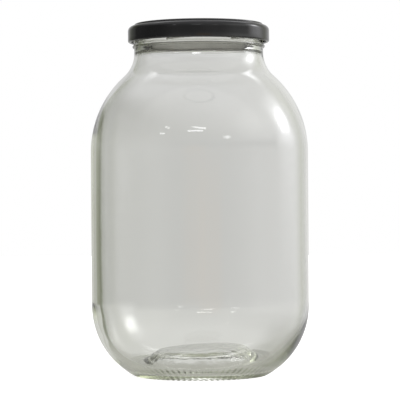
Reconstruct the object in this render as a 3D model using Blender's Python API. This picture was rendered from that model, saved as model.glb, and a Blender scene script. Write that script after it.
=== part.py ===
"""Empty clear glass jar of about one gallon with a black metal twist-off lid, screwed shut.

Lengths are in metres, +Z is up and the jar stands on z = 0 with its axis on Z. The side that is seen
first faces -Y. Each piece is one closed solid, turned from a profile of (radius, height) points.
"""

import math

import bmesh
import bpy

MM = 0.001

# Jar, outside
BODY_RADIUS = 79.2 * MM
SHOULDER_START = 163.0 * MM
SHOULDER_ARC = 74.0 * MM
NECK_RADIUS = 46.95 * MM
NECK_FILLET = 23.0 * MM
HEEL_TOP = 51.0 * MM
HEEL_ARC = 57.0 * MM
BASE_FILLET = 6.0 * MM

# Ring that the jar stands on, and the push-up inside it
RING_INNER = 42.6 * MM
PUSH_UP_FLAT = 28.0 * MM
PUSH_UP_EDGE = 12.3 * MM
PUSH_UP_CROWN = 13.2 * MM

# Jar, inside
WALL = 3.3 * MM
INNER_HEEL_TOP = 54.0 * MM
INNER_HEEL_ARC = 52.0 * MM
INNER_HEEL_TURN = 60.0
VALLEY_ARC = 8.0 * MM
FLOOR_FLAT = 30.0 * MM
FLOOR_EDGE = 17.3 * MM
FLOOR_CROWN = 18.0 * MM

# Bead and finish, the part of the jar that the lid grips
BEAD_HEIGHT = 239.6 * MM
BEAD_ARC = 1.3 * MM
BEAD_TURN = 45.0
HOLLOW_RADIUS = 46.2 * MM
HOLLOW_HEIGHT = 241.3 * MM
FINISH_RADIUS = 45.2 * MM
FINISH_HEAD = 249.0 * MM
BORE_RADIUS = 41.5 * MM
BORE_FOOT = 241.0 * MM
LIP_OUTER_ARC = 1.5 * MM
LIP_INNER_ARC = 1.2 * MM

# Threads: short ridges that climb to the right
THREADS = 6
THREAD_CREST = 47.5 * MM
THREAD_ROOTS = (242.0 * MM, 244.9 * MM)
THREAD_CRESTS = (242.7 * MM, 244.0 * MM)
THREAD_LIFT = 2.8 * MM
THREAD_TURN = 45.0
THREAD_ANGLE = -3.0

# Lid
LID_TOP = 256.2 * MM
LID_SHEET = 0.8 * MM
LID_RADIUS = 51.5 * MM
LID_CORNER = 3.8 * MM
LID_CORNER_HEIGHT = 250.9 * MM
CURL_ARC = 1.2 * MM
CURL_HEIGHT = 243.9 * MM
RIM_RADIUS = 46.9 * MM
RIM_INNER = 40.6 * MM
RIM_ARC = 0.9 * MM
PANEL_RADIUS = 38.8 * MM
PANEL_HEIGHT = 255.0 * MM
STEP_OUTER = 33.0 * MM
STEP_INNER = 31.4 * MM
WELL_HEIGHT = 254.6 * MM
BUTTON_RADIUS = 12.5 * MM
BUTTON_TOP_RADIUS = 10.5 * MM
BUTTON_HEIGHT = 255.0 * MM

# Lugs: six places where the curl is pressed inwards, under the high ends of the threads
LUG_TURN = (22.5, 45.0)
LUG_REACH = 2.7 * MM
LUG_TOP = 243.9 * MM

CLEARANCE = 0.3 * MM
SEGMENTS = 48
SHARP_ANGLE = math.radians(40)


def arc(centre, radius, start, end, steps):
    """Points of an arc about centre, from angle start to end in degrees, outwards being 0 and up 90."""
    points = []
    for i in range(steps + 1):
        angle = math.radians(start + (end - start) * i / steps)
        points.append((centre[0] + radius * math.cos(angle), centre[1] + radius * math.sin(angle)))
    return points


def ease(start, end, steps):
    """Points of a curve that leaves start and reaches end level, without start itself."""
    points = []
    for i in range(1, steps + 1):
        t = i / steps
        blend = t * t * (3 - 2 * t)
        points.append((start[0] + (end[0] - start[0]) * t, start[1] + (end[1] - start[1]) * blend))
    return points


def jar_outside():
    """From the middle of the push-up, under the ring and up the outside to the hollow over the bead."""
    points = [(0.0, PUSH_UP_CROWN), (PUSH_UP_FLAT / 2, (PUSH_UP_CROWN * 3 + PUSH_UP_EDGE) / 4)]
    points.append((PUSH_UP_FLAT, PUSH_UP_EDGE))
    points += ease((PUSH_UP_FLAT, PUSH_UP_EDGE), (RING_INNER, 0.0), 4)

    # The heel's arc and the base fillet touch from inside, so their centres lie this far apart
    heel_centre = (BODY_RADIUS - HEEL_ARC, HEEL_TOP)
    between = HEEL_ARC - BASE_FILLET
    drop = HEEL_TOP - BASE_FILLET
    meet = -math.degrees(math.asin(drop / between))
    fillet_centre = (heel_centre[0] + math.sqrt(between**2 - drop**2), BASE_FILLET)
    points += arc(fillet_centre, BASE_FILLET, -90, meet, 2)
    points += arc(heel_centre, HEEL_ARC, meet, 0, 8)[1:]

    shoulder, neck, meet = shoulder_and_neck()
    points += arc(shoulder, SHOULDER_ARC, 0, meet, 8)
    points += arc(neck, NECK_FILLET, 180 + meet, 180, 4)[1:]
    points += arc((NECK_RADIUS, BEAD_HEIGHT), BEAD_ARC, -90, BEAD_TURN, 4)
    points.append((HOLLOW_RADIUS, HOLLOW_HEIGHT))
    return points


def shoulder_and_neck():
    """Centres of the shoulder's arc and of the neck's fillet, and the angle at which they meet."""
    shoulder = (BODY_RADIUS - SHOULDER_ARC, SHOULDER_START)
    across = NECK_RADIUS + NECK_FILLET - shoulder[0]
    meet = math.degrees(math.acos(across / (SHOULDER_ARC + NECK_FILLET)))
    rise = (SHOULDER_ARC + NECK_FILLET) * math.sin(math.radians(meet))
    return shoulder, (shoulder[0] + across, SHOULDER_START + rise), meet


def jar_finish():
    """Up the finish, through the four rows that carry the threads, over the lip and into the bore."""
    low, high = THREAD_ROOTS
    crest_low, crest_high = THREAD_CRESTS
    points = [(FINISH_RADIUS, z) for z in (low, crest_low, crest_high, high, FINISH_HEAD)]
    mouth = LID_TOP - LID_SHEET - CLEARANCE
    outer = (FINISH_RADIUS - LIP_OUTER_ARC, mouth - LIP_OUTER_ARC)
    inner = (BORE_RADIUS + LIP_INNER_ARC, mouth - LIP_INNER_ARC)
    points += arc(outer, LIP_OUTER_ARC, 0, 90, 2)
    points += arc(inner, LIP_INNER_ARC, 90, 180, 2)
    points.append((BORE_RADIUS, BORE_FOOT))
    return points


def jar_inside():
    """Down the inside of the neck, shoulder, wall and heel, and over the floor to its middle."""
    shoulder, neck, meet = shoulder_and_neck()
    inner_neck = neck[0] - NECK_FILLET - WALL
    points = [((BORE_RADIUS + inner_neck) / 2, (BORE_FOOT + neck[1]) / 2)]
    points += arc(neck, NECK_FILLET + WALL, 180, 180 + meet, 4)
    points += arc(shoulder, SHOULDER_ARC - WALL, meet, 0, 7)[1:]

    heel_centre = (BODY_RADIUS - WALL - INNER_HEEL_ARC, INNER_HEEL_TOP)
    heel = arc(heel_centre, INNER_HEEL_ARC, 0, -INNER_HEEL_TURN, 7)
    turn = math.radians(INNER_HEEL_TURN)
    valley = (heel[-1][0] - VALLEY_ARC * math.cos(turn), heel[-1][1] + VALLEY_ARC * math.sin(turn))
    points += heel + arc(valley, VALLEY_ARC, -INNER_HEEL_TURN, -90, 2)[1:]
    points += ease(points[-1], (FLOOR_FLAT, FLOOR_EDGE), 4)
    points += [(FLOOR_FLAT / 2, (FLOOR_CROWN * 3 + FLOOR_EDGE) / 4), (0.0, FLOOR_CROWN)]
    return points


def lid_outside():
    """From the middle of the button, over the panel and the rim, down the skirt and round the curl."""
    points = [
        (0.0, BUTTON_HEIGHT),
        (BUTTON_TOP_RADIUS, BUTTON_HEIGHT),
        (BUTTON_RADIUS, WELL_HEIGHT),
        (STEP_INNER, WELL_HEIGHT),
        (STEP_OUTER, PANEL_HEIGHT),
        (PANEL_RADIUS, PANEL_HEIGHT),
        (RIM_INNER, LID_TOP),
    ]
    points += arc((RIM_RADIUS - RIM_ARC, LID_TOP - RIM_ARC), RIM_ARC, 90, 0, 2)
    points += arc((LID_RADIUS - LID_CORNER, LID_CORNER_HEIGHT), LID_CORNER, 90, 0, 4)
    points += arc((LID_RADIUS - CURL_ARC, CURL_HEIGHT), CURL_ARC, 0, -270, 6)
    return points


def lid_inside():
    """Back up the inside of the skirt and under the rim and the panel to the middle."""
    inner_skirt = LID_RADIUS - LID_SHEET
    corner = (LID_RADIUS - LID_CORNER, LID_CORNER_HEIGHT)
    points = [(inner_skirt, CURL_HEIGHT + CURL_ARC + LID_SHEET)]
    points += arc(corner, LID_CORNER - LID_SHEET, 0, 90, 3)
    points += [
        (RIM_RADIUS - LID_SHEET, LID_CORNER_HEIGHT + LID_CORNER - LID_SHEET),
        (RIM_RADIUS - LID_SHEET, LID_TOP - LID_SHEET),
        (RIM_INNER, LID_TOP - LID_SHEET),
        (PANEL_RADIUS, PANEL_HEIGHT - LID_SHEET),
        (STEP_OUTER, PANEL_HEIGHT - LID_SHEET),
        (STEP_INNER, WELL_HEIGHT - LID_SHEET),
        (BUTTON_RADIUS, WELL_HEIGHT - LID_SHEET),
        (BUTTON_TOP_RADIUS, BUTTON_HEIGHT - LID_SHEET),
        (0.0, BUTTON_HEIGHT - LID_SHEET),
    ]
    return points


def turned(profile):
    """A closed solid, the profile spun once round Z from the angle at which the threads begin."""
    start = math.radians(THREAD_ANGLE)
    form = bmesh.new()
    verts = [form.verts.new((r * math.cos(start), r * math.sin(start), z)) for r, z in profile]
    edges = [form.edges.new(pair) for pair in zip(verts, verts[1:])]
    bmesh.ops.spin(
        form, geom=verts + edges, cent=(0, 0, 0), axis=(0, 0, 1), angle=math.tau, steps=SEGMENTS
    )
    bmesh.ops.remove_doubles(form, verts=form.verts, dist=0.001 * MM)
    bmesh.ops.recalc_face_normals(form, faces=form.faces)
    return form


def turn_of(vert):
    """Degrees from the low end of the nearest thread to the left of a vertex, 0 to 60."""
    period = 360 / THREADS
    angle = math.degrees(math.atan2(vert.co.y, vert.co.x)) - THREAD_ANGLE
    return round(angle, 3) % period


def move_out(vert, radius, height):
    """Puts a vertex at another radius and height, on the same side of the axis."""
    scale = radius / math.hypot(vert.co.x, vert.co.y)
    vert.co = (vert.co.x * scale, vert.co.y * scale, height)


def raise_threads(form):
    """Lifts the four thread rows along each ridge, and pushes the two crest rows out between its ends."""
    period = 360 / THREADS
    rows = THREAD_ROOTS + THREAD_CRESTS
    for vert in form.verts:
        radius = math.hypot(vert.co.x, vert.co.y)
        if abs(radius - FINISH_RADIUS) > 0.01 * MM:
            continue
        row = min(rows, key=lambda z: abs(z - vert.co.z))
        if abs(row - vert.co.z) > 0.01 * MM:
            continue
        turn = turn_of(vert)
        climbing = turn / THREAD_TURN if turn <= THREAD_TURN else (period - turn) / (period - THREAD_TURN)
        on_ridge = row in THREAD_CRESTS and 0 < turn < THREAD_TURN
        move_out(vert, THREAD_CREST if on_ridge else FINISH_RADIUS, row + THREAD_LIFT * climbing)


def press_lugs(form):
    """Presses the inner half of the curl inwards and flat at each lug."""
    inner_edge = LID_RADIUS - CURL_ARC
    for vert in form.verts:
        radius = math.hypot(vert.co.x, vert.co.y)
        inside = inner_edge - radius
        near_curl = abs(vert.co.z - CURL_HEIGHT) < CURL_ARC
        if not near_curl or not 0.01 * MM < inside < 2 * CURL_ARC:
            continue
        if LUG_TURN[0] < turn_of(vert) < LUG_TURN[1]:
            move_out(vert, radius - LUG_REACH, min(vert.co.z, LUG_TOP))


def finished(name, form, material):
    """The piece as an object of the scene, smooth but for its real edges."""
    mesh = bpy.data.meshes.new(name)
    form.to_mesh(mesh)
    form.free()
    mesh.shade_smooth()
    mesh.set_sharp_from_angle(angle=SHARP_ANGLE)
    mesh.materials.append(material)
    piece = bpy.data.objects.new(name, mesh)
    bpy.context.scene.collection.objects.link(piece)
    return piece


def surface(name, colour, roughness, metallic=0.0, transmission=0.0, ior=1.5):
    """A Principled material."""
    material = bpy.data.materials.new(name)
    material.use_nodes = True
    shader = material.node_tree.nodes["Principled BSDF"]
    shader.inputs["Base Color"].default_value = (*colour, 1.0)
    shader.inputs["Roughness"].default_value = roughness
    shader.inputs["Metallic"].default_value = metallic
    shader.inputs["Transmission Weight"].default_value = transmission
    shader.inputs["IOR"].default_value = ior
    return material


def build_jar():
    """The glass jar: walls, floor, bead, finish and threads in one piece."""
    form = turned(jar_outside() + jar_finish() + jar_inside())
    raise_threads(form)
    clear_glass = surface("clear_glass", (0.86, 0.9, 0.86), 0.03, transmission=1.0, ior=1.52)
    return finished("jar", form, clear_glass)


def build_lid():
    """The pressed metal lid: panel, rim, skirt, curl and lugs in one piece."""
    form = turned(lid_outside() + lid_inside())
    press_lugs(form)
    black_lacquer = surface("black_lacquer", (0.018, 0.018, 0.02), 0.32, metallic=0.2)
    return finished("lid", form, black_lacquer)


def main():
    """Clears the scene and builds both pieces."""
    for old in list(bpy.data.objects):
        bpy.data.objects.remove(old)
    build_jar()
    build_lid()


main()
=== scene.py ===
"""Looks of an empty clear glass jar with a black twist-off lid.

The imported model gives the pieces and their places. This script turns a fine glass jar and a fine
pressed lid of the same form round the same axis, gives them their finishes, and sets up a plain
studio. Sizes in the classes are in millimetres and angles in degrees; meshes are in metres.
"""

import logging
import math
from collections.abc import Callable
from dataclasses import dataclass
from enum import Enum

import bpy
import numpy as np
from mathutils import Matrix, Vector

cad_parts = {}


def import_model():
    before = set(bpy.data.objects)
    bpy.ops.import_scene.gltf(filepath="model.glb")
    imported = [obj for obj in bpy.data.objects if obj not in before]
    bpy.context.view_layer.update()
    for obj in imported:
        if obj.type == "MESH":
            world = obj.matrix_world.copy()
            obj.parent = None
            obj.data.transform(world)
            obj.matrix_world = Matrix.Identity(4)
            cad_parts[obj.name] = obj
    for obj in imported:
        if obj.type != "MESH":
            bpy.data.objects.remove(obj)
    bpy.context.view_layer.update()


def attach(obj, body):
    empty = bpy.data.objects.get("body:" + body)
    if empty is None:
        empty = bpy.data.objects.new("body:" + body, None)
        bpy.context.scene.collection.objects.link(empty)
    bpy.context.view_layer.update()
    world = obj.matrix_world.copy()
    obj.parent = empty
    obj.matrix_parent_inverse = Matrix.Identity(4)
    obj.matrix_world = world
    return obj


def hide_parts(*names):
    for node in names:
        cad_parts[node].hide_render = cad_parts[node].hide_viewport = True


MM = 0.001
HALF_TURN = 180.0
BODY = "root"

Point = tuple[float, float]
Span = tuple[float, float, float]
Profile = list[Point]
Colour = tuple[float, float, float]
Waves = tuple[tuple[float, int, float, float], ...]

log = logging.getLogger("jar")


class Blend(Enum):
    """How a colour ramp passes from one stop to the next."""

    STRAIGHT = "LINEAR"
    SOFT = "EASE"


def arc(centre: Point, radius: float, start: float, end: float, steps: int) -> Profile:
    """Lays points along an arc of a profile.

    Args:
        centre: Radius from the axis and height of the arc's centre.
        radius: Radius of the arc.
        start: First angle, outwards being 0 and up being 90.
        end: Last angle.
        steps: Number of stretches between the points.

    Returns:
        The points, both ends included.
    """
    points = []
    for i in range(steps + 1):
        angle = math.radians(start + (end - start) * i / steps)
        points.append((centre[0] + radius * math.cos(angle), centre[1] + radius * math.sin(angle)))
    return points


def line(start: Point, end: Point, steps: int) -> Profile:
    """Lays points along a straight stretch of a profile.

    Args:
        start: Where the stretch begins, which is left out of the result.
        end: Where it ends.
        steps: Number of points.

    Returns:
        The points after start, up to end.
    """
    shares = [(i + 1) / steps for i in range(steps)]
    return [(start[0] + (end[0] - start[0]) * t, start[1] + (end[1] - start[1]) * t) for t in shares]


def ease(start: Point, end: Point, steps: int) -> Profile:
    """Lays points along a curve that leaves start and reaches end level.

    Args:
        start: Where the curve begins, which is left out of the result.
        end: Where it ends.
        steps: Number of points.

    Returns:
        The points after start, up to end.
    """
    points = []
    for i in range(1, steps + 1):
        t = i / steps
        blend = t * t * (3 - 2 * t)
        points.append((start[0] + (end[0] - start[0]) * t, start[1] + (end[1] - start[1]) * blend))
    return points


def sag(start: Point, end: Point, steps: int) -> Profile:
    """Lays points along a hollow curve that reaches end upright.

    Args:
        start: Where the curve begins, which is left out of the result.
        end: Where it ends.
        steps: Number of points.

    Returns:
        The points after start, up to end.
    """
    shares = [(i + 1) / steps for i in range(steps)]
    return [
        (end[0] + (start[0] - end[0]) * (1 - t) ** 2, start[1] + (end[1] - start[1]) * t) for t in shares
    ]


def smooth_window(value: np.ndarray, low: float, high: float, edge: float) -> np.ndarray:
    """Makes a mask that is 1 between two limits and falls smoothly to 0 outside them.

    Args:
        value: What is masked.
        low: Lower limit.
        high: Upper limit.
        edge: Width of each falling edge, outside the limits.

    Returns:
        The mask, from 0 to 1.
    """
    outside = np.maximum(low - value, value - high) / edge
    t = 1 - np.clip(outside, 0, 1)
    return t * t * (3 - 2 * t)


def add_waves(waves: Waves, around: np.ndarray, height: np.ndarray) -> np.ndarray:
    """Adds up waves that run round the axis and lean as they climb.

    Args:
        waves: Share, number in a full turn, start in radians and lean in radians per millimetre.
        around: Angles of the points in radians.
        height: Heights of the points in millimetres.

    Returns:
        The sum of the waves at each point.
    """
    return sum(share * np.cos(count * around + start + lean * height) for share, count, start, lean in waves)


class Lathe:
    """Turns pieces from profiles, and reshapes turned pieces."""

    def __init__(self, segments: int) -> None:
        """Takes the fineness of the pieces.

        Args:
            segments: How many segments a full turn has.
        """
        self.segments = segments

    def turn(self, name: str, profile: Profile) -> bpy.types.Object:
        """Draws a profile by extruding one vertex of a plane, and sweeps it round the axis.

        Args:
            name: Name of the new object.
            profile: Points in millimetres, from the axis and back to it.

        Returns:
            The closed turned piece, at the origin.
        """
        bpy.ops.object.select_all(action="DESELECT")
        bpy.ops.mesh.primitive_plane_add(size=MM, location=(0, 0, 0))
        piece = bpy.context.object
        piece.name = name
        piece.data.name = name
        bpy.ops.object.mode_set(mode="EDIT")
        bpy.ops.mesh.select_all(action="SELECT")
        bpy.ops.mesh.merge(type="CENTER")
        bpy.ops.transform.translate(value=(profile[0][0] * MM, 0, profile[0][1] * MM))
        for before, after in zip(profile, profile[1:]):
            step = ((after[0] - before[0]) * MM, 0, (after[1] - before[1]) * MM)
            bpy.ops.mesh.extrude_vertices_move(TRANSFORM_OT_translate={"value": step})
        bpy.ops.object.mode_set(mode="OBJECT")
        sweep = piece.modifiers.new("sweep", "SCREW")
        sweep.steps = sweep.render_steps = self.segments
        sweep.use_merge_vertices = False
        bpy.ops.object.modifier_apply(modifier=sweep.name)
        bpy.ops.object.mode_set(mode="EDIT")
        bpy.ops.mesh.select_all(action="SELECT")
        bpy.ops.mesh.remove_doubles(threshold=0.001 * MM)
        bpy.ops.mesh.normals_make_consistent(inside=False)
        bpy.ops.object.mode_set(mode="OBJECT")
        return piece

    @staticmethod
    def reshape(
        piece: bpy.types.Object,
        move: Callable[[np.ndarray, np.ndarray, np.ndarray], tuple[np.ndarray, np.ndarray]],
    ) -> None:
        """Moves the points of a turned piece in and out and up and down.

        Args:
            piece: The piece.
            move: Takes each point's radius and height in millimetres and its angle in degrees, and
                gives back the new radius and height.
        """
        mesh = piece.data
        points = np.empty(len(mesh.vertices) * 3, np.float64)
        mesh.vertices.foreach_get("co", points)
        points = points.reshape(-1, 3)
        radius = np.hypot(points[:, 0], points[:, 1])
        angle = np.degrees(np.arctan2(points[:, 1], points[:, 0])) % 360
        new_radius, new_height = move(radius / MM, points[:, 2] / MM, angle)
        scale = np.where(radius > MM, new_radius * MM / np.maximum(radius, 0.1 * MM), 1.0)
        points[:, 0] *= scale
        points[:, 1] *= scale
        points[:, 2] = new_height * MM
        mesh.vertices.foreach_set("co", points.ravel())
        mesh.update()

    @staticmethod
    def smooth(piece: bpy.types.Object, sharp_angle: float) -> None:
        """Shades a piece smooth but for its sharp edges.

        Args:
            piece: The piece.
            sharp_angle: Angle in degrees from which an edge counts as sharp.
        """
        bpy.ops.object.select_all(action="DESELECT")
        piece.select_set(True)
        bpy.context.view_layer.objects.active = piece
        bpy.ops.object.shade_smooth_by_angle(angle=math.radians(sharp_angle))


class NodeBoard:
    """A node tree with short calls for adding and joining nodes."""

    def __init__(self, tree: bpy.types.NodeTree) -> None:
        """Takes the tree over and empties it.

        Args:
            tree: The nodes of a material or of the world.
        """
        self.tree = tree
        tree.nodes.clear()

    def add(self, kind: str, settings: dict[str, object] | None = None) -> bpy.types.Node:
        """Adds a node.

        Args:
            kind: Blender's name for the node type, without ShaderNode.
            settings: Properties of the node, and values of its inputs by name.

        Returns:
            The node.
        """
        node = self.tree.nodes.new("ShaderNode" + kind)
        for name, value in (settings or {}).items():
            if name in node.inputs:
                node.inputs[name].default_value = value
            else:
                setattr(node, name, value)
        return node

    def join(self, source: bpy.types.NodeSocket, target: bpy.types.NodeSocket) -> None:
        """Links an output to an input.

        Args:
            source: The output.
            target: The input.
        """
        self.tree.links.new(source, target)

    def math(self, operation: str, first: object, second: object = 0.0) -> bpy.types.NodeSocket:
        """Adds a Math node.

        Args:
            operation: Blender's name for the operation.
            first: A socket or a number.
            second: A socket or a number.

        Returns:
            The node's result.
        """
        node = self.add("Math", {"operation": operation})
        for socket, value in zip(node.inputs, (first, second)):
            if isinstance(value, bpy.types.NodeSocket):
                self.join(value, socket)
            else:
                socket.default_value = value
        return node.outputs[0]

    def wrap(self, bearing: bpy.types.NodeSocket) -> bpy.types.NodeSocket:
        """Brings a bearing into the range from -180 to 180.

        Args:
            bearing: The bearing in degrees.

        Returns:
            The same bearing within the range.
        """
        node = self.add("Math", {"operation": "WRAP"})
        self.join(bearing, node.inputs[0])
        node.inputs[1].default_value = HALF_TURN
        node.inputs[2].default_value = -HALF_TURN
        return node.outputs[0]

    def fade(self, value: bpy.types.NodeSocket, start: float, end: float) -> bpy.types.NodeSocket:
        """Adds a smooth step.

        Args:
            value: What drives the step.
            start: Where the step is 0.
            end: Where it is 1, which may be the lower of the two.

        Returns:
            The step, from 0 to 1.
        """
        node = self.add("MapRange", {"interpolation_type": "SMOOTHSTEP", "From Min": start, "From Max": end})
        self.join(value, node.inputs["Value"])
        return node.outputs["Result"]

    def blend(
        self, share: bpy.types.NodeSocket, base: bpy.types.NodeSocket, other: tuple[float, ...]
    ) -> bpy.types.NodeSocket:
        """Adds a mix of a colour with a fixed other one.

        Args:
            share: How much of the other colour shows.
            base: The colour.
            other: The other colour, with its alpha.

        Returns:
            The mixed colour.
        """
        node = self.add("MixRGB", {"Color2": other})
        self.join(share, node.inputs["Fac"])
        self.join(base, node.inputs["Color1"])
        return node.outputs["Color"]

    def ramp(
        self, source: bpy.types.NodeSocket, stops: list[tuple[float, Colour]], blend: Blend
    ) -> bpy.types.NodeSocket:
        """Adds a colour ramp.

        Args:
            source: What drives the ramp, from 0 to 1.
            stops: Place and colour of each stop, in order.
            blend: How the stops pass into each other.

        Returns:
            The ramp's colour.
        """
        node = self.add("ValToRGB")
        node.color_ramp.interpolation = blend.value
        elements = node.color_ramp.elements
        while len(elements) < len(stops):
            elements.new(0.5)
        for element, (place, colour) in zip(elements, stops):
            element.position = place
            element.color = (*colour, 1.0)
        self.join(source, node.inputs["Fac"])
        return node.outputs["Color"]

    def noise(self, size: float, detail: float = 2.0) -> bpy.types.NodeSocket:
        """Adds a noise on object coordinates.

        Args:
            size: Width of its features in millimetres.
            detail: How many finer layers it has.

        Returns:
            The noise, around 0.5.
        """
        place = self.add("TexCoord")
        node = self.add("TexNoise", {"Scale": 1 / (size * MM), "Detail": detail})
        self.join(place.outputs["Object"], node.inputs["Vector"])
        return node.outputs["Fac"]


@dataclass(frozen=True)
class ClearGlass:
    """Soda-lime glass, clear with a green tinge where it is thick."""

    ior: float = 1.52
    tint: Colour = (0.72, 0.79, 0.45)
    density: float = 9.0
    ripple_size: float = 26.0
    ripple_depth: float = 0.05
    smear_size: float = 14.0
    stipple_size: float = 6.5
    stipple_depth: float = 0.8
    stipple_radius: float = 43.0
    stipple_flat: float = 28.0
    stipple_top: float = 14.6
    stipple_slope: float = 0.8
    stipple_edge: Point = (8.0, 1.2)
    smear_range: Point = (0.45, 0.8)
    smear_most: float = 0.03

    def stipple(self, board: NodeBoard) -> bpy.types.NodeSocket:
        """Adds the relief of the push-up, which is mottled where the mould was coldest.

        Args:
            board: The material's nodes.

        Returns:
            The relief's height in metres.
        """
        place = board.add("SeparateXYZ")
        board.join(board.add("TexCoord").outputs["Object"], place.inputs["Vector"])
        east, north, up = place.outputs
        square = board.math("ADD", board.math("MULTIPLY", east, east), board.math("MULTIPLY", north, north))
        radius = board.math("SQRT", square)
        aside, above = self.stipple_edge
        within = board.fade(radius, self.stipple_radius * MM, (self.stipple_radius - aside) * MM)
        past = board.math("MAXIMUM", board.math("SUBTRACT", radius, self.stipple_flat * MM), 0.0)
        level = board.math("ADD", up, board.math("MULTIPLY", past, self.stipple_slope))
        low = board.fade(level, (self.stipple_top + above) * MM, self.stipple_top * MM)
        grain = board.noise(self.stipple_size, 2.5)
        relief = board.math("MULTIPLY", grain, self.stipple_depth * MM)
        return board.math("MULTIPLY", relief, board.math("MULTIPLY", within, low))

    def material(self) -> bpy.types.Material:
        """Builds the material.

        Returns:
            The material.
        """
        made = bpy.data.materials.new("clear_glass")
        made.use_nodes = True
        board = NodeBoard(made.node_tree)
        shader = board.add(
            "BsdfPrincipled",
            {"Base Color": (1.0, 1.0, 1.0, 1.0), "Transmission Weight": 1.0, "IOR": self.ior},
        )
        low, high = self.smear_range
        smears = board.add(
            "MapRange", {"From Min": low, "From Max": high, "To Min": 0.0, "To Max": self.smear_most}
        )
        board.join(board.noise(self.smear_size, 4.0), smears.inputs["Value"])
        board.join(smears.outputs["Result"], shader.inputs["Roughness"])
        ripple = board.add("Bump", {"Strength": 1.0, "Distance": 1.0})
        waves = board.math("MULTIPLY", board.noise(self.ripple_size, 1.0), self.ripple_depth * MM)
        board.join(board.math("ADD", waves, self.stipple(board)), ripple.inputs["Height"])
        board.join(ripple.outputs["Normal"], shader.inputs["Normal"])
        inside = board.add("VolumeAbsorption", {"Color": (*self.tint, 1.0), "Density": self.density})
        out = board.add("OutputMaterial")
        board.join(shader.outputs["BSDF"], out.inputs["Surface"])
        board.join(inside.outputs["Volume"], out.inputs["Volume"])
        return made


@dataclass(frozen=True)
class BlackLacquer:
    """Semi-gloss black lacquer on pressed steel."""

    colour: Colour = (0.0155, 0.0155, 0.016)
    worn: Colour = (0.022, 0.0215, 0.0225)
    cloud_size: float = 18.0
    roughness: float = 0.085
    haze: Point = (-0.04, 0.05)
    haze_size: float = 6.0
    peel_size: float = 0.9
    peel_depth: float = 0.0015

    def material(self) -> bpy.types.Material:
        """Builds the material.

        Returns:
            The material.
        """
        made = bpy.data.materials.new("black_lacquer")
        made.use_nodes = True
        board = NodeBoard(made.node_tree)
        shader = board.add("BsdfPrincipled", {"Specular IOR Level": 0.5})
        cloud = board.noise(self.cloud_size, 3.0)
        tone = board.ramp(cloud, [(0.35, self.colour), (0.7, self.worn)], Blend.SOFT)
        board.join(tone, shader.inputs["Base Color"])
        least, most = (self.roughness + change for change in self.haze)
        haze = board.add("MapRange", {"To Min": least, "To Max": most})
        board.join(board.noise(self.haze_size, 5.0), haze.inputs["Value"])
        board.join(haze.outputs["Result"], shader.inputs["Roughness"])
        peel = board.add("Bump", {"Strength": 1.0, "Distance": self.peel_depth * MM})
        board.join(board.noise(self.peel_size, 1.0), peel.inputs["Height"])
        board.join(peel.outputs["Normal"], shader.inputs["Normal"])
        out = board.add("OutputMaterial")
        board.join(shader.outputs["BSDF"], out.inputs["Surface"])
        return made


@dataclass(frozen=True)
class WhiteEnamel:
    """Pale enamel on the inside of the lid, which shows through the neck."""

    colour: Colour = (0.9, 0.89, 0.85)
    shade: Colour = (0.84, 0.83, 0.79)
    cloud_size: float = 9.0
    roughness: float = 0.35

    def material(self) -> bpy.types.Material:
        """Builds the material.

        Returns:
            The material.
        """
        made = bpy.data.materials.new("white_enamel")
        made.use_nodes = True
        board = NodeBoard(made.node_tree)
        shader = board.add("BsdfPrincipled", {"Roughness": self.roughness})
        cloud = board.noise(self.cloud_size, 3.0)
        tone = board.ramp(cloud, [(0.3, self.shade), (0.7, self.colour)], Blend.SOFT)
        board.join(tone, shader.inputs["Base Color"])
        out = board.add("OutputMaterial")
        board.join(shader.outputs["BSDF"], out.inputs["Surface"])
        return made


@dataclass
class ThreadRing:
    """Short ridges round the finish that the lid's lugs hook under."""

    count: int = 6
    crest: float = 47.5
    foot: float = 241.2
    height: float = 3.3
    lift: float = 4.0
    turn: float = 45.0
    taper: float = 7.5
    angle: float = -3.0
    crest_share: float = 0.22
    flank_share: float = 0.3

    def turn_of(self, angle: np.ndarray) -> np.ndarray:
        """Finds where along its thread a point lies.

        Args:
            angle: Angles of the points.

        Returns:
            Degrees from the low end of the thread, which rises as the angle grows.
        """
        return (angle - self.angle) % (360 / self.count)

    def rise(self, height: np.ndarray, angle: np.ndarray) -> np.ndarray:
        """Works out how far the ridges stand out.

        Args:
            height: Heights of the points.
            angle: Angles of the points.

        Returns:
            From 0 on the plain finish to 1 on a crest.
        """
        turn = self.turn_of(angle)
        middle = self.foot + self.height / 2 + self.lift * turn / self.turn
        half = self.height * self.crest_share
        across = smooth_window(height - middle, -half, half, self.height * self.flank_share)
        along = smooth_window(turn, self.taper, self.turn - self.taper, self.taper)
        return across * along


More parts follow.
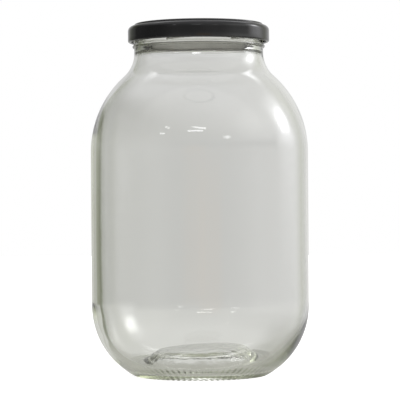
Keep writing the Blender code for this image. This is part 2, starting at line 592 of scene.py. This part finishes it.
@dataclass
class GlassJar:
    """The glass jar, one piece: base, heel, wall, shoulder, neck, bead, finish and lip."""

    name: str = "jar_glass"
    node: str = "jar"
    segments: int = 432
    body: float = 79.08
    shoulder_start: float = 163.0
    shoulder_arc: float = 74.0
    neck: float = 46.95
    neck_fillet: float = 23.0
    heel_top: float = 51.0
    heel_arc: float = 57.0
    base_fillet: float = 6.0
    ring_inner: float = 42.6
    push_up_flat: float = 28.0
    push_up_edge: float = 12.3
    push_up_crown: float = 13.2
    wall: float = 3.3
    inner_heel_top: float = 54.0
    inner_heel_arc: float = 52.0
    inner_heel_turn: float = 60.0
    valley_arc: float = 8.0
    floor_flat: float = 30.0
    floor_edge: float = 17.3
    floor_crown: float = 18.0
    bead_height: float = 239.6
    bead_arc: float = 1.3
    bead_turn: float = 45.0
    bead_gap: float = 0.3
    finish: float = 45.2
    finish_foot: float = 243.4
    finish_head: float = 248.7
    mouth: float = 255.1
    bore: float = 41.5
    bore_foot: float = 241.0
    neck_flare: float = 5.0
    lip_outer_arc: float = 1.5
    lip_inner_arc: float = 1.2
    knurls: int = 72
    knurl_depth: float = 0.6
    knurl_span: Point = (41.5, 53.5)
    knurl_edge: float = 1.5
    knurl_inset: float = 3.0
    knurl_top: float = 6.0
    knurl_sharpness: float = 0.7
    inner_from: float = 20.0
    inner_span: Point = (12.0, 236.0)
    thick_side: float = 1.9
    thicker: float = 0.8
    thick_span: Span = (45.0, 168.0, 38.0)
    unevenness: float = 0.15
    uneven_span: Span = (45.0, 200.0, 30.0)
    waves: Waves = ((0.6, 2, 0.9, -0.017), (0.35, 3, -1.3, 0.031), (0.2, 5, 2.1, -0.05))
    neck_waves: float = 0.03
    neck_span: Span = (229.0, 238.0, 3.0)
    chill: Waves = ((1.0, 5, 0.0, 0.5), (1.0, 8, 1.0, -0.35))
    seam_height: float = 0.1
    seam_width: float = 0.7
    seam_angle: float = 52.0
    seam_span: Point = (2.0, 215.0)
    near: float = 0.5
    sharp: float = 50.0

    def shoulder_and_neck(self) -> tuple[Point, Point, float]:
        """Finds where the shoulder's arc meets the neck's fillet.

        Returns:
            The centre of the shoulder's arc, the centre of the fillet, and the angle between them.
        """
        shoulder = (self.body - self.shoulder_arc, self.shoulder_start)
        across = self.neck + self.neck_fillet - shoulder[0]
        reach = self.shoulder_arc + self.neck_fillet
        meet = math.degrees(math.acos(across / reach))
        rise = reach * math.sin(math.radians(meet))
        return shoulder, (shoulder[0] + across, self.shoulder_start + rise), meet

    def base_profile(self) -> Profile:
        """Draws the push-up, the standing ring and the heel, from the axis to the wall.

        Returns:
            The points.
        """
        crown_mid = (self.push_up_flat / 2, (self.push_up_crown * 3 + self.push_up_edge) / 4)
        edge = (self.push_up_flat, self.push_up_edge)
        points = [(0.0, self.push_up_crown), (2.0, self.push_up_crown)]
        points += line(points[-1], crown_mid, 2) + line(crown_mid, edge, 3)
        points += ease(edge, (self.ring_inner, 0.0), 14)
        heel_centre = (self.body - self.heel_arc, self.heel_top)
        between = self.heel_arc - self.base_fillet
        drop = self.heel_top - self.base_fillet
        meet = -math.degrees(math.asin(drop / between))
        fillet = (heel_centre[0] + math.sqrt(between**2 - drop**2), self.base_fillet)
        points += line(points[-1], (fillet[0], 0.0), 4)
        points += arc(fillet, self.base_fillet, -90, meet, 5)[1:]
        points += arc(heel_centre, self.heel_arc, meet, 0, 34)[1:]
        return points

    def upper_profile(self) -> Profile:
        """Draws the outside from the wall's top over the shoulder, neck and bead to the finish.

        Returns:
            The points.
        """
        shoulder, neck, meet = self.shoulder_and_neck()
        points = line((self.body, self.heel_top), (self.body, self.shoulder_start), 8)
        points += arc(shoulder, self.shoulder_arc, 0, meet, 30)[1:]
        points += arc(neck, self.neck_fillet, 180 + meet, 180, 14)[1:]
        points += line(points[-1], (self.neck, self.bead_height - self.bead_arc - self.bead_gap), 3)
        points += arc((self.neck, self.bead_height), self.bead_arc, -90, self.bead_turn, 8)
        points += sag(points[-1], (self.finish, self.finish_foot), 8)
        return points

    def mouth_profile(self) -> Profile:
        """Draws the finish up to the lip and down the bore.

        Returns:
            The points.
        """
        outer = (self.finish - self.lip_outer_arc, self.mouth - self.lip_outer_arc)
        inner = (self.bore + self.lip_inner_arc, self.mouth - self.lip_inner_arc)
        points = line((self.finish, self.finish_foot), (self.finish, self.finish_head), 18)
        points += arc(outer, self.lip_outer_arc, 0, 90, 5)
        points += arc(inner, self.lip_inner_arc, 90, 180, 4)
        points += line(points[-1], (self.bore, self.bore_foot), 3)
        return points

    def inner_profile(self) -> Profile:
        """Draws the inside from the bore down to the middle of the floor.

        Returns:
            The points.
        """
        shoulder, neck, meet = self.shoulder_and_neck()
        flare = arc(neck, self.neck_fillet + self.wall, 180 + self.neck_flare, 180 + meet, 12)
        drop = self.bore_foot - flare[0][1]
        lean = math.tan(math.radians(self.neck_flare)) * drop
        points = []
        for i in range(1, 12):
            t = i / 12
            share = t * t * (3 - 2 * t)
            radius = self.bore + (flare[0][0] - self.bore) * share + lean * t * t * (t - 1)
            points.append((radius, self.bore_foot - drop * t))
        points += flare
        points += arc(shoulder, self.shoulder_arc - self.wall, meet, 0, 28)[1:]
        heel_centre = (self.body - self.wall - self.inner_heel_arc, self.inner_heel_top)
        points += line(points[-1], (self.body - self.wall, self.inner_heel_top), 8)
        points += arc(heel_centre, self.inner_heel_arc, 0, -self.inner_heel_turn, 30)[1:]
        turn = math.radians(self.inner_heel_turn)
        last = points[-1]
        valley = (last[0] - self.valley_arc * math.cos(turn), last[1] + self.valley_arc * math.sin(turn))
        points += arc(valley, self.valley_arc, -self.inner_heel_turn, -90, 6)[1:]
        points += ease(points[-1], (self.floor_flat, self.floor_edge), 14)
        middle = (self.floor_flat / 2, (self.floor_crown * 3 + self.floor_edge) / 4)
        points += line(points[-1], middle, 3) + line(middle, (2.0, self.floor_crown), 2)
        points.append((0.0, self.floor_crown))
        return points

    def outer_wall(self, radius: np.ndarray, height: np.ndarray) -> np.ndarray:
        """Picks the points of the outside that the mould seams run over.

        Args:
            radius: Radii of the points.
            height: Heights of the points.

        Returns:
            True for the points of the outer heel, wall and shoulder.
        """
        shoulder, _, _ = self.shoulder_and_neck()
        low, high = self.seam_span
        from_heel = np.hypot(radius - (self.body - self.heel_arc), height - self.heel_top) - self.heel_arc
        from_shoulder = np.hypot(radius - shoulder[0], height - shoulder[1]) - self.shoulder_arc
        heel = (height <= self.heel_top) & (height > low) & (np.abs(from_heel) < self.near)
        wall = (height > self.heel_top) & (height < shoulder[1]) & (radius > self.body - self.near)
        top = (height >= shoulder[1]) & (height < high) & (np.abs(from_shoulder) < self.near)
        return heel | wall | top

    def inner_shift(
        self, radius: np.ndarray, height: np.ndarray, angle: np.ndarray, outside: np.ndarray
    ) -> np.ndarray:
        """Works out how far the inner wall strays from a true round.

        Args:
            radius: Radii of the points.
            height: Heights of the points.
            angle: Angles of the points.
            outside: True for the points of the outer wall.

        Returns:
            What to add to the radii.
        """
        around = np.radians(angle)
        low, high = self.inner_span
        at_wall = (radius < self.body - self.wall + self.near) & (radius > self.inner_from)
        inside = at_wall & (height > low) & (height < high) & ~outside
        side = self.thick_side * np.cos(around) - self.thicker
        shift = inside * side * smooth_window(height, *self.thick_span)
        wave = add_waves(self.waves, around, height)
        return shift + inside * self.unevenness * wave * smooth_window(height, *self.uneven_span)

    def relief(
        self, radius: np.ndarray, height: np.ndarray, angle: np.ndarray
    ) -> tuple[np.ndarray, np.ndarray]:
        """Adds the threads, the knurling, the mould seams and the unevenness of the inner wall.

        Args:
            radius: Radii of the points.
            height: Heights of the points.
            angle: Angles of the points.

        Returns:
            The new radii and heights.
        """
        threads = ThreadRing()
        above_bead = self.bead_height + self.bead_arc
        on_finish = (np.abs(radius - self.finish - 0.5) < 0.55) & (height > above_bead)
        radius = radius + on_finish * threads.rise(height, angle) * (threads.crest - radius)

        under = (height < self.knurl_top) & (radius > self.ring_inner - self.knurl_inset)
        bar = 0.5 + 0.5 * np.cos(np.radians(angle * self.knurls))
        groove = smooth_window(radius, *self.knurl_span, self.knurl_edge) * (1 - bar**self.knurl_sharpness)
        up_fillet = under * smooth_window(height, 1.0, self.knurl_top, 1.0)
        radius = radius - up_fillet * groove * self.knurl_depth
        height = height + under * groove * self.knurl_depth

        outside = self.outer_wall(radius, height)
        from_seam = np.abs((angle + 90 - self.seam_angle) % HALF_TURN - 90) * np.pi / HALF_TURN * radius
        radius = radius + outside * self.seam_height * smooth_window(from_seam, -1, 0, self.seam_width)

        radius = radius + self.inner_shift(radius, height, angle, outside)
        ripples = self.neck_waves * add_waves(self.chill, np.radians(angle), height)
        at_neck = (radius < self.neck - 1.5) & (radius > self.bore - self.near)
        radius = radius + at_neck * ripples * smooth_window(height, *self.neck_span)
        return radius, height

    def build(self, finish: bpy.types.Material) -> bpy.types.Object:
        """Turns and reshapes the jar, and dresses it.

        Args:
            finish: The glass.

        Returns:
            The finished piece.
        """
        lathe = Lathe(self.segments)
        profile = self.base_profile() + self.upper_profile() + self.mouth_profile() + self.inner_profile()
        piece = lathe.turn(self.name, profile)
        lathe.reshape(piece, self.relief)
        lathe.smooth(piece, self.sharp)
        piece.data.materials.append(finish)
        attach(piece, BODY)
        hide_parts(self.node)
        return piece


@dataclass
class TwistLid:
    """The pressed lid, one piece: button, panel, rim, skirt, curl and lugs."""

    name: str = "lid_cap"
    node: str = "lid"
    segments: int = 288
    top: float = 256.2
    sheet: float = 0.8
    skirt: float = 51.5
    corner: float = 3.8
    corner_height: float = 250.9
    curl: float = 1.2
    curl_height: float = 243.9
    rim: float = 46.9
    rim_inner: float = 40.6
    rim_arc: float = 0.9
    panel: float = 38.8
    panel_height: float = 255.0
    step_outer: float = 33.0
    step_inner: float = 31.4
    well_height: float = 254.6
    button: float = 12.5
    button_top: float = 10.5
    button_height: float = 255.0
    button_middle: float = 5.0
    under_button: Span = (24.5, 5.5, 3.0)
    lug_turn: Point = (30.0, 37.5)
    lug_edge: float = 6.0
    lug_reach: float = 2.7
    lug_bend: float = 0.6
    lug_top: float = 243.9
    sharp: float = 40.0
    near: float = 0.01
    skirt_depth: float = 1.5

    def outer_profile(self) -> Profile:
        """Draws the outside from the middle of the button to the end of the curl.

        Returns:
            The points.
        """
        points = [(radius, self.button_height) for radius in (0.0, self.button_middle, self.button_top)]
        points += ease(points[-1], (self.button, self.well_height), 6)
        points += line(points[-1], (self.step_inner, self.well_height), 4)
        points += ease(points[-1], (self.step_outer, self.panel_height), 6)
        points += line(points[-1], (self.panel, self.panel_height), 2)
        points += ease(points[-1], (self.rim_inner, self.top), 6)
        points += line(points[-1], (self.rim - self.rim_arc, self.top), 3)
        points += arc((self.rim - self.rim_arc, self.top - self.rim_arc), self.rim_arc, 90, 0, 6)[1:]
        corner = (self.skirt - self.corner, self.corner_height)
        points += arc(corner, self.corner, 90, 0, 12)
        points += line(points[-1], (self.skirt, self.curl_height), 3)
        points += arc((self.skirt - self.curl, self.curl_height), self.curl, 0, -270, 18)[1:]
        return points

    def inner_profile(self) -> Profile:
        """Draws the inside from the top of the curl back to the middle.

        Returns:
            The points.
        """
        inner_skirt = self.skirt - self.sheet
        corner = (self.skirt - self.corner, self.corner_height)
        under = self.top - self.sheet
        points = [(inner_skirt, self.curl_height + self.curl + self.sheet)]
        points += arc(corner, self.corner - self.sheet, 0, 90, 8)
        points += [
            (self.rim - self.sheet, self.corner_height + self.corner - self.sheet),
            (self.rim - self.sheet, under),
            (self.rim_inner, under),
        ]
        points += ease(points[-1], (self.panel, self.panel_height - self.sheet), 4)
        points += line(points[-1], (self.step_outer, self.panel_height - self.sheet), 2)
        points += ease(points[-1], (self.step_inner, self.well_height - self.sheet), 4)
        foot, top, middle = self.under_button
        points += line(points[-1], (foot, self.well_height - self.sheet), 2)
        points += ease(points[-1], (top, self.button_height - self.sheet), 16)
        points += [(middle, self.button_height - self.sheet), (0.0, self.button_height - self.sheet)]
        return points

    def press_lugs(
        self, radius: np.ndarray, height: np.ndarray, angle: np.ndarray
    ) -> tuple[np.ndarray, np.ndarray]:
        """Presses the inner half of the curl inwards and flat at each lug.

        Args:
            radius: Radii of the points.
            height: Heights of the points.
            angle: Angles of the points.

        Returns:
            The new radii and heights.
        """
        inside = self.skirt - self.curl - radius
        level = np.abs(height - self.curl_height) < self.curl
        on_curl = level & (inside > self.near) & (inside < 2 * self.curl)
        turn = ThreadRing().turn_of(angle)
        pressed = on_curl * smooth_window(turn, self.lug_turn[0], self.lug_turn[1], self.lug_edge)
        share = np.clip(inside / self.curl, 0, 1) ** self.lug_bend
        radius = radius - pressed * share * self.lug_reach
        height = height + pressed * (np.minimum(height, self.lug_top) - height)
        return radius, height

    def build(self, outside: bpy.types.Material, inside: bpy.types.Material) -> bpy.types.Object:
        """Turns and presses the lid, and dresses it.

        Args:
            outside: The finish of the outside and the curl.
            inside: The finish of the inside.

        Returns:
            The finished piece.
        """
        lathe = Lathe(self.segments)
        piece = lathe.turn(self.name, self.outer_profile() + self.inner_profile())
        lathe.reshape(piece, self.press_lugs)
        lathe.smooth(piece, self.sharp)
        piece.data.materials.append(outside)
        piece.data.materials.append(inside)
        above_curl = (self.curl_height + self.curl) * MM
        for face in piece.data.polygons:
            radial = face.normal.x * face.center.x + face.normal.y * face.center.y
            if face.center.z > above_curl and (radial < 0 or face.normal.z < 0):
                at_skirt = math.hypot(*face.center.xy) > (self.skirt - self.skirt_depth) * MM
                inner_face = face.normal.z < 0 or at_skirt
                face.material_index = int(inner_face)
        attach(piece, BODY)
        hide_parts(self.node)
        return piece


@dataclass(frozen=True)
class Window:
    """A soft-edged pane on the room's walls, bright or dim, placed by bearing and elevation."""

    bearing: float
    elevation: float
    width: float
    height: float
    edge: float
    light: float
    lean: float = 0.0
    cover: float = 1.0
    tint: Colour = (1.0, 1.0, 1.03)

    def paint(
        self,
        board: NodeBoard,
        behind: bpy.types.NodeSocket,
        bearing: bpy.types.NodeSocket,
        elevation: bpy.types.NodeSocket,
    ) -> bpy.types.NodeSocket:
        """Adds the pane's light to the room's.

        Args:
            board: The room's nodes.
            behind: Colour of the room so far.
            bearing: Bearing of a direction.
            elevation: Elevation of a direction.

        Returns:
            The colour with the pane.
        """
        over = board.math("SUBTRACT", elevation, self.elevation)
        leant = board.math("MULTIPLY", over, self.lean)
        middle = board.math("ADD", leant, self.bearing)
        aside = board.math("ABSOLUTE", board.wrap(board.math("SUBTRACT", bearing, middle)))
        across = board.fade(aside, self.width / 2 + self.edge, self.width / 2 - self.edge)
        tall = board.math("ABSOLUTE", over)
        along = board.fade(tall, self.height / 2 + self.edge, self.height / 2 - self.edge)
        share = board.math("MULTIPLY", board.math("MULTIPLY", across, along), self.cover)
        glow = tuple(self.light * part for part in self.tint)
        return board.blend(share, behind, (*glow, 1.0))


@dataclass
class Studio:
    """Plain room, floor, lamps and camera. Bearings start behind the jar and grow to the right."""

    distance: float = 1.4
    eye_height: float = 0.1278
    eye_side: float = 0.0002
    roll: float = 0.41
    lens: float = 172.65
    sensor: float = 36.0
    floor_size: float = 6.0
    walls: tuple[Colour, ...] = (
        (-180, 0.43, 0),
        (-140, 0.38, 0),
        (-120, 0.14, 0),
        (-60, 0.1, 0),
        (-36, 0.22, 1),
        (-28, 0.29, 1),
        (-25.5, 0.52, 0),
        (-8, 0.555, 0),
        (0, 0.585, 0),
        (9, 0.69, 0),
        (20, 0.76, 0),
        (30, 0.7, 0),
        (45, 0.6, 0.6),
        (60, 1.15, 0),
        (120, 1.15, 0),
        (145, 0.6, 0),
        (180, 0.43, 0),
    )
    ceiling: Colour = (0.72, 0.72, 0.73)
    ceiling_from: float = 25.0
    ceiling_to: float = 50.0
    ground: Colour = (0.44, 0.44, 0.405)
    ground_from: float = -12.0
    ground_to: float = -24.0
    windows: tuple[Window, ...] = (
        Window(0.0, -10.6, 70.0, 10.6, 1.3, 0.66, tint=(1.0, 1.0, 0.98)),
        Window(0.0, 9.0, 110.0, 13.0, 4.0, 0.95, cover=0.15),
        Window(-22.0, 65.0, 22.0, 30.0, 5.0, 2.6, lean=1.1),
        Window(25.0, 62.0, 12.0, 34.0, 6.0, 3.5, lean=-1.1),
        Window(180.0, -55.0, 170.0, 60.0, 9.0, 0.9, tint=(1.0, 0.99, 0.96)),
        Window(-18.0, 13.0, 40.0, 14.0, 5.0, 0.75, cover=0.4),
        Window(28.0, -11.0, 30.0, 10.0, 4.0, 0.8, cover=0.5),
        Window(165.0, 6.5, 150.0, 6.0, 4.5, 0.1, cover=0.65),
        Window(171.0, -4.0, 22.0, 10.0, 3.0, 0.5, tint=(1.3, 1.0, 0.75)),
        Window(73.0, 20.0, 24.0, 32.0, 9.0, 2.5),
        Window(71.0, 22.5, 14.0, 12.0, 5.5, 8.0),
        Window(-176.0, 21.5, 16.0, 1.6, 0.6, 9.0),
        Window(-140.0, 18.0, 6.0, 1.6, 0.6, 7.0),
        Window(152.0, 14.0, 6.0, 3.0, 1.0, 4.0),
    )

    def camera(self) -> None:
        """Sets the camera level in front of the jar."""
        data = bpy.data.cameras.new("camera")
        data.lens = self.lens
        data.sensor_width = self.sensor
        eye = bpy.data.objects.new("camera", data)
        bpy.context.scene.collection.objects.link(eye)
        eye.location = (self.eye_side, -self.distance, self.eye_height)
        eye.rotation_euler = (math.pi / 2, math.radians(self.roll), 0.0)
        bpy.context.scene.camera = eye

    def room(self) -> None:
        """Paints the room: white to the eye, and grey paper, darker sides and windows for the glass."""
        world = bpy.data.worlds.new("room")
        bpy.context.scene.world = world
        world.use_nodes = True
        board = NodeBoard(world.node_tree)
        way = board.add("SeparateXYZ")
        board.join(board.add("TexCoord").outputs["Generated"], way.inputs["Vector"])
        east, north, up = way.outputs
        bearing = board.math("MULTIPLY", board.math("ARCTAN2", east, north), 360 / math.tau)
        elevation = board.math("MULTIPLY", board.math("ARCSINE", up), 360 / math.tau)
        place = board.math("ADD", board.math("DIVIDE", bearing, 360.0), 0.5)
        walls = board.ramp(place, self.stops(self.walls), Blend.STRAIGHT)
        ceiling = board.fade(elevation, self.ceiling_from, self.ceiling_to)
        ground = board.fade(elevation, self.ground_from, self.ground_to)
        light = board.blend(ceiling, walls, (*self.ceiling, 1.0))
        light = board.blend(ground, light, (*self.ground, 1.0))
        for window in self.windows:
            light = window.paint(board, light, bearing, elevation)
        seen_in_glass = board.add("Background")
        board.join(light, seen_in_glass.inputs["Color"])
        white = board.add("Background", {"Color": (1.0, 1.0, 1.0, 1.0)})
        path = board.add("LightPath")
        mix = board.add("MixShader")
        board.join(path.outputs["Is Camera Ray"], mix.inputs["Fac"])
        board.join(seen_in_glass.outputs["Background"], mix.inputs[1])
        board.join(white.outputs["Background"], mix.inputs[2])
        out = board.add("OutputWorld")
        board.join(mix.outputs["Shader"], out.inputs["Surface"])

    @staticmethod
    def stops(walls: tuple[Colour, ...]) -> list[tuple[float, Colour]]:
        """Turns the walls into the stops of a ramp round the room.

        Args:
            walls: Bearing, brightness and green tinge of each stop, in order.

        Returns:
            Place and colour of each stop.
        """
        return [
            (bearing / 360 + 0.5, (light, light * (1 + 0.05 * tinge), light * (0.985 - 0.2 * tinge)))
            for bearing, light, tinge in walls
        ]

    def floor(self) -> None:
        """Lays a pale floor that only the eye sees, as what is seen through the glass is the room."""
        bpy.ops.object.select_all(action="DESELECT")
        bpy.ops.mesh.primitive_plane_add(size=self.floor_size, location=(0, 0, 0))
        floor = bpy.context.object
        floor.name = "floor"
        material = bpy.data.materials.new("pale_floor")
        material.use_nodes = True
        board = NodeBoard(material.node_tree)
        paper = board.add("BsdfDiffuse", {"Color": (0.8, 0.8, 0.8, 1.0)})
        glow = board.add("Emission", {"Color": (1.0, 1.0, 1.0, 1.0), "Strength": 0.9})
        both = board.add("AddShader")
        board.join(paper.outputs["BSDF"], both.inputs[0])
        board.join(glow.outputs["Emission"], both.inputs[1])
        out = board.add("OutputMaterial")
        board.join(both.outputs["Shader"], out.inputs["Surface"])
        floor.data.materials.append(material)
        floor.visible_transmission = False
        floor.visible_glossy = False
        floor.visible_diffuse = False

    def tune(self) -> None:
        """Lets light pass through all the glass walls in its way, and keeps whites white."""
        scene = bpy.context.scene
        scene.view_settings.view_transform = "Standard"
        scene.cycles.max_bounces = 32
        scene.cycles.transmission_bounces = 28
        scene.cycles.glossy_bounces = 12
        scene.cycles.diffuse_bounces = 3

    def build(self) -> None:
        """Sets up the whole studio."""
        self.camera()
        self.room()
        self.floor()
        self.tune()


def main() -> None:
    """Builds the studio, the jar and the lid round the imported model."""
    logging.basicConfig(level=logging.INFO, format="%(name)s: %(message)s")
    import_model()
    Studio().build()
    jar = GlassJar().build(ClearGlass().material())
    log.info("%s has %d faces", jar.name, len(jar.data.polygons))
    lid = TwistLid().build(BlackLacquer().material(), WhiteEnamel().material())
    log.info("%s has %d faces", lid.name, len(lid.data.polygons))


if __name__ == "__main__":
    main()
